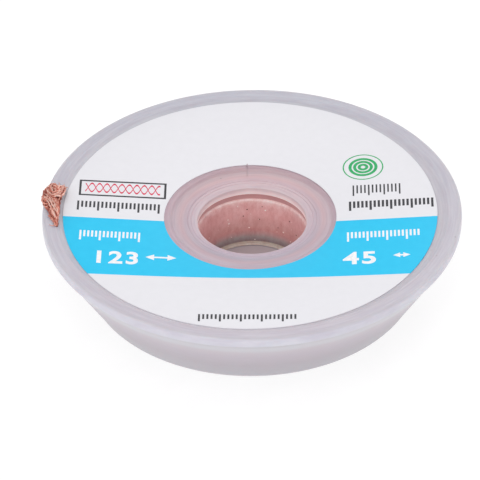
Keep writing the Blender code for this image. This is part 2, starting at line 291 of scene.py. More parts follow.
foot_corner = [
    (FOOT_RADIUS + FOOT_CORNER[0] * cos(radians(turn)), FOOT_CORNER[1] * (1 + sin(radians(turn))), 0)
    for turn in range(-90, -10, 9)
]
bowl_outline = [
    (FOOT_RADIUS - FOOT_WIDTH, 0.0, 0.0002),
    *foot_corner,
    (WALL_TOP_RADIUS, WALL_TOP, 0.0012),
    (LIP_RADIUS, LIP_TOP - 0.0004, 0.0003),
    (LIP_RADIUS, LIP_TOP, 0.00012),
    (LIP_RADIUS - LIP_WIDTH, LIP_TOP, 0.0001),
    (WALL_TOP_RADIUS - BOWL_WALL, WALL_TOP, 0.0008),
    (WALL_FOOT_RADIUS - BOWL_WALL, FLOOR_TOP, 0.0008),
    (HUB_RADIUS, FLOOR_TOP, 0.0003),
    (HUB_RADIUS, HUB_TOP, 0.0002),
    (BORE_RADIUS, HUB_TOP, 0.0003),
    (BORE_RADIUS - BORE_TAPER, BEAD_HEIGHT, 0.00008),
    (BORE_RADIUS - BORE_TAPER - BEAD_WIDTH, BEAD_HEIGHT, 0.00014),
    (BORE_RADIUS - BORE_TAPER - BEAD_WIDTH, 0.0, 0.00012),
    (BORE_RADIUS + HUB_RING, 0.0, 0.0002),
    (BORE_RADIUS + HUB_RING, FLOOR_RAISE, 0.0001),
    (FOOT_RADIUS - FOOT_WIDTH, FLOOR_RAISE, 0.0002),
]
bowl = add_piece("moulded_bowl", turned(rounded(bowl_outline)), bowl_plastic)
notch_bm = bmesh.new()
bmesh.ops.create_cube(notch_bm, size=1.0)
bmesh.ops.scale(notch_bm, vec=NOTCH_SIZE, verts=notch_bm.verts)
bmesh.ops.bevel(
    notch_bm, geom=notch_bm.edges, offset=NOTCH_ROUND, segments=4, profile=0.5, affect="EDGES", material=-1
)
bmesh.ops.translate(notch_bm, vec=(LIP_RADIUS, 0.0, NOTCH_BOTTOM + NOTCH_SIZE[2] / 2), verts=notch_bm.verts)
to_notch = Matrix.Rotation(NOTCH_AZIMUTH, 3, "Z")
bmesh.ops.rotate(notch_bm, cent=(0, 0, 0), matrix=to_notch, verts=notch_bm.verts)
cut(bowl, add_piece("notch_tool", notch_bm, bowl_plastic))
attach(bowl, "root")
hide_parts("lower_bowl")

# Wound braid: flat braid of fine bare copper wire, soaked in flux, in ten turns round the flange's
# sleeve. It is wound twice, one winding on top of the other, and shows only through the plastic.
BRAID_WIDTH = 0.0025
BRAID_PITCH = 0.00055
BRAID_THICKNESS = 0.00050
BRAID_ROUND = 0.0002
BRAID_SLANT = 1.6
TURNS = 10
ROLL_INNER = 0.00935
ROLL_BOTTOM = 0.0019
WINDING_GAP = 0.0002
ROLL_RADIUS = ROLL_INNER + TURNS * BRAID_PITCH
CROSSING = 0.0011  # the weave repeats at each crossing of its strands, along the braid
STEPS_PER_TURN = 72


def swept(name, paths, width, section=None, roundness=1):
    """A mesh from lines of points, each made a round wire of that width or given a flat section."""
    line = bpy.data.curves.new(name, "CURVE")
    line.dimensions = "3D"
    line.twist_mode = "Z_UP" if section else "MINIMUM"
    line.bevel_depth = width / 2
    line.bevel_resolution = roundness
    line.use_fill_caps = True
    if section:
        line.bevel_mode = "OBJECT"
        line.bevel_object = section
    for points in paths:
        spline = line.splines.new("POLY")
        spline.points.add(len(points) - 1)
        for point, where in zip(spline.points, points):
            point.co = (*where, 1.0)
    made = bpy.data.objects.new(name, line)
    bpy.context.collection.objects.link(made)
    bpy.context.view_layer.update()
    evaluated = made.evaluated_get(bpy.context.evaluated_depsgraph_get())
    mesh = bpy.data.meshes.new_from_object(evaluated)
    bm = bmesh.new()
    bm.from_mesh(mesh)
    bpy.data.objects.remove(made, do_unlink=True)
    return bm


section_curve = bpy.data.curves.new("braid_section", "CURVE")
section_curve.dimensions = "2D"
corner_points = rounded(
    [
        (-BRAID_THICKNESS / 2, -BRAID_WIDTH / 2, BRAID_ROUND),
        (BRAID_THICKNESS / 2, -BRAID_WIDTH / 2, BRAID_ROUND),
        (BRAID_THICKNESS / 2, BRAID_WIDTH / 2, BRAID_ROUND),
        (-BRAID_THICKNESS / 2, BRAID_WIDTH / 2, BRAID_ROUND),
    ],
    steps=3,
)
section_line = section_curve.splines.new("POLY")
section_line.points.add(len(corner_points) - 1)
section_line.use_cyclic_u = True
for point, where in zip(section_line.points, corner_points):
    point.co = (where.x, where.y, 0.0, 1.0)
braid_section = bpy.data.objects.new("braid_section", section_curve)

windings = []
for winding in range(2):
    middle = ROLL_BOTTOM + BRAID_WIDTH / 2 + winding * (BRAID_WIDTH + WINDING_GAP)
    spiral = []
    for step in range(TURNS * STEPS_PER_TURN + 1):
        turn = step / STEPS_PER_TURN
        out = ROLL_INNER + BRAID_PITCH * (0.5 + turn * (TURNS - 1) / TURNS)
        spiral.append((out * cos(2 * pi * turn), out * sin(2 * pi * turn), middle))
    windings.append(spiral)

braid_weave, tree, place, shader = new_material("bare_copper_braid")
along = add_node(tree, "SeparateXYZ", [("Vector", place)])
azimuth = add_node(tree, "Math", [(0, along.outputs["Y"]), (1, along.outputs["X"])], operation="ARCTAN2")
mean_radius = ROLL_RADIUS * 0.85
length = add_node(tree, "Math", [(0, azimuth), (1, mean_radius)], operation="MULTIPLY")
strands = []
for hand in (1, -1):
    slanted = [(0, along.outputs["Z"]), (1, hand * BRAID_SLANT), (2, length)]
    slope = add_node(tree, "Math", slanted, operation="MULTIPLY_ADD")
    phase = add_node(tree, "Math", [(0, slope), (1, 2 * pi / CROSSING)], operation="MULTIPLY")
    strands.append(add_node(tree, "Math", [(0, phase)], operation="SINE"))
crossed = add_node(tree, "Math", [(0, strands[0]), (1, strands[1])], operation="MULTIPLY")
woven = add_node(tree, "MapRange", [("Value", crossed), ("From Min", -1.0), ("From Max", 1.0)])
# Painted shade and highlight: the tone follows the weave's relief, darker where it is low and lighter where
# it is high.
tone = add_node(tree, "ValToRGB", [("Fac", woven)], [(0.0, "8E4A38"), (1.0, "E7A184")])
relief = add_node(tree, "Bump", [("Height", woven), ("Distance", 0.00012)])
set_inputs(tree, shader, [("Base Color", tone), ("Metallic", 1.0), ("Roughness", 0.38), ("Normal", relief)])
roll = add_piece("wound_braid", swept("wound_braid", windings, 0.0, braid_section), braid_weave)
bpy.data.objects.remove(braid_section)
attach(roll, "root")
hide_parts("copper_braid")

# Upper flange: a second moulding of the same polypropylene. Its sleeve grips the bowl's hub tube.
# The dished face runs out to a soft-edged rim band, and in to a cove, a flat well and a rounded
# shoulder that leads into the bore.
flange_low, flange_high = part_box("upper_flange")
RIM_RADIUS = flange_high.x
RIM_TOP = flange_high.z
SLEEVE_BOTTOM = flange_low.z
RIM_CREASE = RIM_RADIUS - 0.0017
RIM_FALL = 0.00016
RIM_UNDERSIDE = RIM_TOP - 0.00138
SKIRT_RADIUS = 0.0250
SKIRT_WALL = 0.0009
SKIRT_BOTTOM = 0.00865
COLLAR_BOTTOM = RIM_TOP - 0.00305
GROOVE_DEPTH = 0.00025
COLLAR_GLOW = 0.15
SHOULDER_RADIUS = 0.0090
SHOULDER_DROP = 0.00035
SHOULDER_TURNS = range(175, 89, -5)
SHOULDER_RINGS = (125, 110)  # where a fine step is that the mould's inserts left, in degrees
RING_STEP = ((-0.00008, -0.00002), (-0.00003, -0.00006), (0.00003, -0.00006), (0.00006, 0.00001))
WELL_RADIUS = 0.0100
COVE_RADIUS = 0.0106
COVE_DEPTH = 0.00038
LABEL_RADIUS = 0.0243
LABEL_HOLE = 0.0112
LABEL_EDGE_TOP = RIM_TOP - 0.00039
LABEL_DISH = 0.00084
LABEL_THICKNESS = 0.00010
FLANGE_THICKNESS = 0.0009
SLEEVE_RADIUS = 0.00905
SLEEVE_INNER = 0.00825
SEAM = 0.00002
GATE_WIDTH = 0.00012
GATE_PLACE = -0.00055  # along X, where the mould's gate left a fine ridge across the well


def label_top(radius):
    """Height of the label's printed face, which dips evenly towards the hub."""
    return LABEL_EDGE_TOP - LABEL_DISH * (LABEL_RADIUS - radius) / (LABEL_RADIUS - LABEL_HOLE)


def face_level(radius):
    """Height of the flange's dished face, which the label is stuck to."""
    return label_top(radius) - LABEL_THICKNESS


# The face is lavender-grey over the bowl's hollow, and pink near the hub, where the roll is close
# below. The tool that turned the mould left rings in it, which the frosting breaks up into streaks.
flange_plastic, tree, place, shader = new_material("natural_polypropylene_flange")
spread = add_node(tree, "SeparateXYZ", [("Vector", place)])
across, height = spread.outputs["Y"], spread.outputs["Z"]
radius = axis_radius(tree, place)
outward = add_node(tree, "MapRange", [("Value", radius), ("From Max", RIM_RADIUS)])
# The far and near ramps are one plastic, toned as the light falls on each side: painted light and shade. The
# cove under the label's hole is painted darker, painted shade, and the rim's rounded outer edge lighter, a
# painted highlight that is strongest on the near side.
FAR_STOPS = [
    (0.2615, "CFBEC4"), (0.268, "D0BCC1"), (0.289, "D9C3C7"), (0.318, "CFB4BC"), (0.341, "D7B6B9"),
    (0.370, "CEB6BA"), (0.395, "BFA3AA"), (0.43, "C9AEB8"), (0.80, "CDC6CE"), (0.905, "CAC8CF"),
    (0.94, "C2C2CC"), (0.97, "C2C2CC"), (0.9926, "C3C3CA"), (1.0, "CAC9D1"),
]
NEAR_STOPS = [
    (0.2615, "CFC0C8"), (0.268, "C6B7C2"), (0.289, "C3B3C0"), (0.322, "B8AFBA"), (0.341, "C6ADB5"),
    (0.370, "C8B8C3"), (0.395, "C4B1BD"), (0.43, "C9AEB8"), (0.80, "CDC6CE"), (0.905, "D0C8CF"),
    (0.94, "CAC3CB"), (0.97, "CEC9D2"), (0.9926, "C7C4CB"), (1.0, "D5D4DE"),
]
far_tone = add_node(tree, "ValToRGB", [("Fac", outward)], FAR_STOPS)
near_tone = add_node(tree, "ValToRGB", [("Fac", outward)], NEAR_STOPS)
front = add_node(tree, "Math", [(0, across), (1, radius)], operation="DIVIDE")
front = add_node(tree, "MapRange", [("Value", front), ("From Min", 1.0), ("From Max", -1.0)])
look = [("Factor", front), (COLOUR_A, far_tone), (COLOUR_B, near_tone)]
look = add_node(tree, "Mix", look, data_type="RGBA").outputs[COLOUR_OUT]
# The collar is painted lighter the deeper it lies and glows a little: painted light, for the light that
# reaches it through the plastic. The groove under it is painted a darker pink, painted shade.
in_bore = add_node(tree, "Math", [(0, radius), (1, BORE_RADIUS + 0.0004)], operation="LESS_THAN")
down_collar = [("Value", height), ("From Min", RIM_TOP - 0.0019), ("From Max", COLLAR_BOTTOM + 0.0002)]
depth = add_node(tree, "MapRange", down_collar)
deep = add_node(tree, "Math", [(0, in_bore), (1, depth)], operation="MULTIPLY")
in_groove = add_node(tree, "Math", [(0, height), (1, COLLAR_BOTTOM - 0.00003)], operation="LESS_THAN")
for share, colour in ((deep, "FFF0EF"), (in_groove, "C99B9B")):
    look = [("Factor", share), (COLOUR_A, look), (COLOUR_B, linear(colour))]
    look = add_node(tree, "Mix", look, data_type="RGBA").outputs[COLOUR_OUT]
glow = add_node(tree, "Math", [(0, deep), (1, COLLAR_GLOW)], operation="MULTIPLY")
streak_scale = (0.26 * PER_MM, 0.26 * PER_MM, 0.6 * PER_MM)
streak_place = add_node(tree, "VectorMath", [(0, place), (1, streak_scale)], operation="MULTIPLY")
streak_row = add_node(tree, "Math", [(0, radius), (1, 5.2 * PER_MM)], operation="MULTIPLY")
streak = add_node(
    tree,
    "TexNoise",
    [("Vector", streak_place), ("W", streak_row), ("Scale", 1.0), ("Detail", 3.0), ("Roughness", 0.6)],
    noise_dimensions="4D",
)
streak_tone = add_node(tree, "ValToRGB", [("Fac", streak)], [(0.36, "EAE6EC"), (0.64, "FFFFFF")])
look = [("Factor", 0.6), (COLOUR_A, look), (COLOUR_B, streak_tone)]
look = add_node(tree, "Mix", look, data_type="RGBA", blend_type="MULTIPLY").outputs[COLOUR_OUT]
look = dotted(tree, place, look, "7E7880", 0.0013, 0.78, 0.05, 0.10, 0.55)
skin = moulded_skin(tree, place, radius, 0.0005, 0.000008)
set_inputs(tree, shader, [
    ("Base Color", look),
    ("Roughness", 0.40),
    ("IOR", 1.49),
    ("Subsurface Weight", 0.4),
    ("Subsurface Radius", (0.0020, 0.0014, 0.0013)),
    ("Subsurface Scale", 1.0),
    ("Emission Color", look),
    ("Emission Strength", glow),
    ("Normal", skin),
])

well_level = face_level(COVE_RADIUS) - COVE_DEPTH
shoulder = []
for turn in SHOULDER_TURNS:
    out = SHOULDER_RADIUS + (SHOULDER_RADIUS - BORE_RADIUS) * cos(radians(turn))
    level = well_level - SHOULDER_DROP * (1 - sin(radians(turn)))
    if turn in SHOULDER_RINGS:
        shoulder += [(out + aside, level + drop, 0) for aside, drop in RING_STEP]
    else:
        shoulder.append((out, level, 0))
skirt_inner = SKIRT_RADIUS - SKIRT_WALL
flange_outline = [
    (BORE_RADIUS, COLLAR_BOTTOM, 0.00012),
    *shoulder,
    (WELL_RADIUS + 0.0003, well_level, 0.0002),
    (COVE_RADIUS, face_level(COVE_RADIUS) - 0.00003, 0.0002),
    (LABEL_HOLE + 0.0002, face_level(LABEL_HOLE + 0.0002), 0),
    (LABEL_RADIUS + 0.0003, face_level(LABEL_RADIUS + 0.0003), 0.0003),
    (RIM_CREASE, RIM_TOP, 0.00015),
    (RIM_RADIUS, RIM_TOP - RIM_FALL, 0.00040),
    (RIM_RADIUS, RIM_UNDERSIDE, 0.00015),
    (SKIRT_RADIUS, RIM_UNDERSIDE, 0.0001),
    (SKIRT_RADIUS, SKIRT_BOTTOM, 0.0001),
    (skirt_inner, SKIRT_BOTTOM, 0.0001),
    (skirt_inner, face_level(skirt_inner) - FLANGE_THICKNESS, 0.0003),
    (SLEEVE_RADIUS, face_level(SLEEVE_RADIUS) - FLANGE_THICKNESS, 0.0003),
    (SLEEVE_RADIUS, SLEEVE_BOTTOM, 0.0001),
    (SLEEVE_INNER, SLEEVE_BOTTOM, 0.0001),
    (SLEEVE_INNER, HUB_TOP + SEAM, 0.00005),
    (BORE_RADIUS + GROOVE_DEPTH, HUB_TOP + SEAM, 0.00005),
    (BORE_RADIUS + GROOVE_DEPTH, COLLAR_BOTTOM, 0.0001),
]
flange = add_piece("moulded_flange", turned(rounded(flange_outline)), flange_plastic)
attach(flange, "root")
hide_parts("upper_flange")
gate_line = [
    (GATE_PLACE, out, level)
    for out, level in (
        (LABEL_HOLE + 0.00008, label_top(LABEL_HOLE) + 0.00004),
        (COVE_RADIUS + 0.0001, face_level(COVE_RADIUS)),
        (WELL_RADIUS + 0.0003, well_level + 0.00002),
        (WELL_RADIUS - 0.0007, well_level),
    )
]
gate = add_piece("gate_mark", swept("gate_mark", [gate_line], GATE_WIDTH), flange_plastic)
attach(gate, "root")

# Face label: a ring of white coated paper, die cut and stuck on by hand a little to the left. A
# cyan band runs across it below the middle, printed to the edge.
LABEL_OFFSET = 0.00023
LABEL_LOW = 0.0001
LABEL_STRETCH = (0.9915, 1.003, 1.0)
LABEL_TURN = radians(-1.2)
BAND_TOP = -0.0012
BAND_BOTTOM = -0.0133

label_paper, tree, place, shader = new_material("coated_label_paper")
straight = add_node(tree, "Mapping", [("Vector", place), ("Rotation", (0.0, 0.0, -LABEL_TURN))])
across = add_node(tree, "SeparateXYZ", [("Vector", straight)]).outputs["Y"]
above = add_node(tree, "Math", [(0, across), (1, BAND_TOP)], operation="LESS_THAN")
below = add_node(tree, "Math", [(0, across), (1, BAND_BOTTOM)], operation="GREATER_THAN")
band = add_node(tree, "Math", [(0, above), (1, below)], operation="MULTIPLY")
fibre = add_node(tree, "TexNoise", [("Vector", place), ("Scale", 0.9 * PER_MM), ("Detail", 4.0)])
paper_tone = add_node(tree, "ValToRGB", [("Fac", fibre)], [(0.3, "E8E7EC"), (0.7, "EAE9EE")])
ink_tone = add_node(tree, "ValToRGB", [("Fac", fibre)], [(0.3, "16C6F3"), (0.7, "1DCAF6")])
printed = [("Factor", band), (COLOUR_A, paper_tone), (COLOUR_B, ink_tone)]
printed = add_node(tree, "Mix", printed, data_type="RGBA").outputs[COLOUR_OUT]
calender = add_node(tree, "Bump", [("Height", fibre), ("Distance", 0.000002)])
set_inputs(tree, shader, [("Base Color", printed), ("Roughness", 0.45), ("IOR", 1.45), ("Normal", calender)])

label_outline = [
    (LABEL_HOLE, label_top(LABEL_HOLE), 0.00002),
    (LABEL_RADIUS, label_top(LABEL_RADIUS), 0.00002),
    (LABEL_RADIUS, face_level(LABEL_RADIUS) + 0.00001, 0),
    (LABEL_HOLE, face_level(LABEL_HOLE) + 0.00001, 0),
]
label_bm = turned(rounded(label_outline, steps=2))
bmesh.ops.scale(label_bm, vec=LABEL_STRETCH, verts=label_bm.verts)
bmesh.ops.translate(label_bm, vec=(-LABEL_OFFSET, -LABEL_LOW, 0.0), verts=label_bm.verts)
label = add_piece("label_sheet", label_bm, label_paper)
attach(label, "root")
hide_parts("face_label")

# Print: screen-printed inks that stand a few hundredths of a millimetre proud of the paper. Plain
# rules, tick scales, numbers and a coil sign fill the print's places.
INK_DEPTH = 0.00002
INK_LIFT = 22  # how many levels of 255 lighter the ink is where a fibre shows
DRAPE_PITCH = 0.0012


def ink(name, colour):
    """Flat screen ink: an even colour that breaks up slightly into the paper's fibres."""
    material, tree, place, shader = new_material(name)
    fibre = add_node(tree, "TexNoise", [("Vector", place), ("Scale", 2.5 * PER_MM), ("Detail", 2.0)])
    lighter = "".join(f"{min(255, int(colour[k:k + 2], 16) + INK_LIFT):02X}" for k in (0, 2, 4))
    tone = add_node(tree, "ValToRGB", [("Fac", fibre)], [(0.35, colour), (0.75, lighter)])
    set_inputs(tree, shader, [("Base Color", tone), ("Roughness", 0.5)])
    return material


def add_block(bm, left, right, bottom, top):
    """A flat rectangle."""
    middle = Matrix.Translation(((left + right) / 2, (bottom + top) / 2, 0.0))
    grown = middle @ Matrix.Diagonal(((right - left) / 2, (top - bottom) / 2, 1.0, 1.0))
    bmesh.ops.create_grid(bm, x_segments=1, y_segments=1, size=1.0, matrix=grown)


def add_bars(bm, left, top, bars, width, height, pitch, tall_every, tall):
    """A row of upright bars, of which each tall_every-th is taller by that share."""
    for index in range(bars):
        bar_height = height * (1.0 if index % tall_every else tall)
        bar_left = left + index * pitch
        add_block(bm, bar_left, bar_left + width, top - bar_height, top)


def add_frame(bm, left, right, top, bottom, line):
    """A rectangular rule round a box."""
    add_block(bm, left, right, top - line, top)
    add_block(bm, left, right, bottom, bottom + line)
    add_block(bm, left, left + line, bottom + line, top - line)
    add_block(bm, right - line, right, bottom + line, top - line)


def add_ribbon(bm, points, rise):
    """A drawn line through points, made by pulling a short upright stroke along it."""
    start = [bm.verts.new((points[0].x, points[0].y + side * rise / 2, 0.0)) for side in (-1, 1)]
    edge = bm.edges.new(start)
    for here, there in zip(points, points[1:]):
        pulled = bmesh.ops.extrude_edge_only(bm, edges=[edge])["geom"]
        moved = [item for item in pulled if isinstance(item, bmesh.types.BMVert)]
        bmesh.ops.translate(bm, vec=there - here, verts=moved)
        edge = next(item for item in pulled if isinstance(item, bmesh.types.BMEdge))


def add_ring(bm, centre, inner, outer, steps=48):
    """A flat ring, from two circles that are bridged."""
    edges = []
    for reach in (inner, outer):
        made = bmesh.ops.create_circle(bm, segments=steps, radius=reach, matrix=Matrix.Translation(centre))
        edges += list({edge for vert in made["verts"] for edge in vert.link_edges})
    bmesh.ops.bridge_loops(bm, edges=edges)


def add_words(bm, text, left, baseline, size, stretch, weight):
    """Plain numbers in Blender's own typeface."""
    letters = bpy.data.curves.new("numbers", "FONT")
    letters.body = text
    letters.size = size
    letters.offset = weight
    letters.space_character = 1.15
    holder = bpy.data.objects.new("numbers", letters)
    bpy.context.collection.objects.link(holder)
    bpy.context.view_layer.update()
    mesh = bpy.data.meshes.new_from_object(holder.evaluated_get(bpy.context.evaluated_depsgraph_get()))
    mesh.transform(Matrix.Translation((left, baseline, 0.0)) @ Matrix.Diagonal((stretch, 1.0, 1.0, 1.0)))
    bm.from_mesh(mesh)
    bpy.data.objects.remove(holder, do_unlink=True)


def drape(bm):
    """Lays flat print on the dished label and gives it the ink's thickness."""
    bmesh.ops.remove_doubles(bm, verts=bm.verts, dist=0.000002)
    for axis in (0, 1):
        low = min(vert.co[axis] for vert in bm.verts)
        high = max(vert.co[axis] for vert in bm.verts)
        normal = Vector((1.0 - axis, axis, 0.0))
        for step in range(1, int((high - low) / DRAPE_PITCH) + 1):
            geometry = bm.verts[:] + bm.edges[:] + bm.faces[:]
            where = normal * (low + step * DRAPE_PITCH)
            bmesh.ops.bisect_plane(bm, geom=geometry, plane_co=where, plane_no=normal, dist=0.0000005)
    bmesh.ops.rotate(bm, cent=(0, 0, 0), matrix=Matrix.Rotation(LABEL_TURN, 3, "Z"), verts=bm.verts)
    bmesh.ops.recalc_face_normals(bm, faces=bm.faces)
    pulled = bmesh.ops.extrude_face_region(bm, geom=bm.faces[:])["geom"]
    top = [item for item in pulled if isinstance(item, bmesh.types.BMVert)]
    bmesh.ops.translate(bm, vec=(0.0, 0.0, 2 * INK_DEPTH), verts=top)
    for vert in bm.verts:
        vert.co.z += label_top(hypot(vert.co.x + LABEL_OFFSET, vert.co.y)) - INK_DEPTH
    return bm


def add_arrow(bm, left, right, middle, line, head):
    """A dimension arrow with a head at each end."""
    for tip, neck in ((left, left + head), (right, right - head)):
        corners = [(tip, middle), (neck, middle + head * 0.55), (neck, middle - head * 0.55)]
        verts = [bm.verts.new((x, y, 0.0)) for x, y in corners]
        bmesh.ops.contextual_create(bm, geom=verts)
    add_block(bm, left + head, right - head, middle - line / 2, middle + line / 2)


black_bm = bmesh.new()
add_frame(black_bm, -0.0225, -0.0112, 0.0068, 0.0035, 0.00028)
add_bars(black_bm, -0.0226, 0.0023, 21, 0.00026, 0.0013, 0.00052, 5, 1.5)
add_bars(black_bm, 0.0130, 0.0062, 13, 0.00020, 0.0017, 0.00050, 4, 1.3)
add_bars(black_bm, 0.0125, 0.0028, 21, 0.00030, 0.0014, 0.00053, 5, 1.4)
add_bars(black_bm, -0.0064, -0.0214, 24, 0.00024, 0.0010, 0.00052, 5, 1.5)
red_bm = bmesh.new()
WAVE_LEFT, WAVE_MIDDLE = -0.0217, 0.00525
WAVE_RUN = 0.0097
WAVE_HEIGHT = 0.0009
WAVE_LENGTH = 0.00194
WAVE_STEPS = 64
for hand in (-1, 1):
    for strand in range(2):
        wave = []
        for step in range(WAVE_STEPS + 1):
            x = WAVE_LEFT + WAVE_RUN * step / WAVE_STEPS
            y = WAVE_MIDDLE + hand * WAVE_HEIGHT * sin(2 * pi * (x / WAVE_LENGTH + strand / 2))
            wave.append(Vector((x, y, 0.0)))
        add_ribbon(red_bm, wave, 0.00032)
white_bm = bmesh.new()
add_bars(white_bm, -0.0220, -0.0040, 16, 0.00026, 0.0013, 0.00050, 5, 1.55)
add_bars(white_bm, 0.0122, -0.0038, 19, 0.00026, 0.0013, 0.00050, 5, 1.55)
add_words(white_bm, "123", -0.0202, -0.0108, 0.0036, 1.02, 0.00010)
add_words(white_bm, "45", 0.0117, -0.0107, 0.0036, 1.10, 0.00010)
add_arrow(white_bm, -0.0134, -0.0095, -0.0092, 0.00030, 0.00110)
add_arrow(white_bm, 0.0180, 0.0202, -0.0092, 0.00028, 0.00090)
green_bm = bmesh.new()
SIGN = Vector((0.0144, 0.0100, 0.0))
for inner, outer in ((0.0003, 0.0007), (0.0009, 0.0013), (0.0015, 0.0019), (0.0025, 0.00266)):
    add_ring(green_bm, SIGN, inner, outer)

for name, bm, piece_material in (
    ("black_print", black_bm, ink("black_screen_ink", "2A2A30")),
    ("red_print", red_bm, ink("red_screen_ink", "D2304F")),
    ("white_print", white_bm, ink("white_screen_ink", "EFEFF4")),
    ("green_print", green_bm, ink("green_screen_ink", "1FA35C")),
):
    print_layer = add_piece(name, drape(bm), piece_material)
    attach(print_layer, "root")

# Free end of the braid: the same copper braid. It leaves the outermost turn on edge, turns flat,
# goes out through the notch, pulled to its far side, and folds up over the rim.
def bare_copper(name, stops, roughness):
    """Bare copper wire, of which each piece has its own shade of tarnish."""
    material, tree, place, shader = new_material(name)
    each = add_node(tree, "NewGeometry").outputs["Random Per Island"]
    stain = add_node(tree, "TexNoise", [("Vector", place), ("Scale", 1.8 * PER_MM), ("Detail", 2.0)])
    stained = add_node(tree, "MapRange", [("Value", stain), ("From Min", 0.3), ("From Max", 0.7)])
    shade = add_node(tree, "Mix", [("Factor", 0.45), (2, each), (3, stained)], data_type="FLOAT")
    tone = add_node(tree, "ValToRGB", [("Fac", shade)], stops)
    set_inputs(tree, shader, [("Base Color", tone), ("Metallic", 0.8), ("Roughness", roughness)])
    return material


copper_wire = bare_copper("bare_copper_wire", [(0.1, "CC7462"), (0.5, "E29684"), (0.9, "F3B7A6")], 0.34)

FREE_WIDTH = 0.0027
FREE_LEVEL = 0.00825
FREE_AZIMUTH = radians(172.4)
NOTCH_EXIT_LEVEL = 0.0091
FREE_THICKNESS = 0.0004
STRANDS = 14
STRAND_WIRE = 0.00022
STRAND_WEAVE = 0.00005
TWIST_STEPS = 40
FLAT_STEPS = 30
LAST_LEAN = 65
OUTWARD = Vector((cos(FREE_AZIMUTH), sin(FREE_AZIMUTH), 0.0))
ALONG = Vector((-sin(FREE_AZIMUTH), cos(FREE_AZIMUTH), 0.0))
UP = Vector((0.0, 0.0, 1.0))

flat_end = SKIRT_RADIUS - SKIRT_WALL - FREE_WIDTH
roll_middle = ROLL_RADIUS - BRAID_PITCH / 2
leaving = FREE_AZIMUTH - acos(roll_middle / flat_end)
route = []
upper_winding = ROLL_BOTTOM + 1.5 * BRAID_WIDTH + WINDING_GAP
start = Vector((cos(leaving), sin(leaving), 0.0)) * roll_middle + UP * upper_winding
end = OUTWARD * flat_end + UP * FREE_LEVEL
run = end - start
side = Vector((-run.y, run.x, 0.0)).normalized()
for step in range(TWIST_STEPS + 1):
    share = step / TWIST_STEPS
    turn = share * pi / 2
    across = UP * cos(turn) + side * sin(turn)
    normal = side * cos(turn) - UP * sin(turn)
    route.append((start.lerp(end, share), across, normal, BRAID_WIDTH + (FREE_WIDTH - BRAID_WIDTH) * share))
for step in range(1, FLAT_STEPS + 1):
    share = step / FLAT_STEPS
    lean = radians(LAST_LEAN * share**4)
    normal = OUTWARD * sin(lean) - UP * cos(lean)
    rise = (NOTCH_EXIT_LEVEL - FREE_LEVEL) * max(0.0, (share - 0.5) / 0.5) ** 1.5
    middle = OUTWARD * (flat_end + (RIM_RADIUS - 0.0002 - flat_end) * share) + UP * (FREE_LEVEL + rise)
    route.append((middle, ALONG, normal, FREE_WIDTH))
strand_lines = []
for hand in (1, -1):
    for strand in range(STRANDS):
        travelled = 0.0
        line = []
        for index, (middle, across, normal, width) in enumerate(route):
            if index:
                travelled += (middle - route[index - 1][0]).length
            around = 2 * pi * (strand / STRANDS + hand * travelled / (STRANDS * CROSSING / 2))
            weave = STRAND_WEAVE * sin(STRANDS / 2 * around) * hand
            line.append(
                middle
                + across * cos(around) * (width / 2 - STRAND_WIRE / 2)
                + normal * (sin(around) * (FREE_THICKNESS / 2 - STRAND_WIRE / 2) + weave)
            )
        strand_lines.append(line)
free_run = add_piece("free_braid", swept("free_braid", strand_lines, STRAND_WIRE), copper_wire)
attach(free_run, "root")
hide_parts("copper_braid")

# Frayed wires: the same wires where the braid has come apart on top of the rim. A mat of single
# wires, dark in its gaps, lies on the rim; half of them take the darker copy of the copper, which is
# partly tarnish and partly painted shade. The strands over it curl round at the back, cross and
# gather to one tip, each in a darker, plain or lighter copy: painted shade and highlight.
WIRE = 0.00011  # drawn coarser than the real 0.08 mm, which would not show
MAT_WIRES = 120
BUNDLES = 4
BUNDLE_APART = 0.00012
BUNDLE_WANDER = 0.00008
CURLS = 80
BACK = 0.0053  # the tuft's two ends along Y
TIP = -0.0036
MAT_RISE = 0.00014
PRESSED = 0.00086  # metres above the rim for each millimetre of a way's height
TWIST_LENGTH = 0.006
# The tuft's sides as (place along the rim, how far out), from its back to its tip
OUTER_SIDE = [
    (0.0055, -0.0256), (0.0052, -0.0262), (0.0041, -0.0268), (0.0031, -0.0270), (0.0022, -0.0271),
    (0.0016, -0.0270), (0.0008, -0.0267), (0.0005, -0.0263), (-0.0005, -0.0260), (-0.0015, -0.0258),
    (-0.0025, -0.0255), (-0.0036, -0.0251),
]
INNER_SIDE = [
    (0.0055, -0.0250), (0.0050, -0.0243), (0.0041, -0.0243), (0.0033, -0.0246), (0.0023, -0.0247),
    (0.0000, -0.0249), (-0.0036, -0.0250),
]
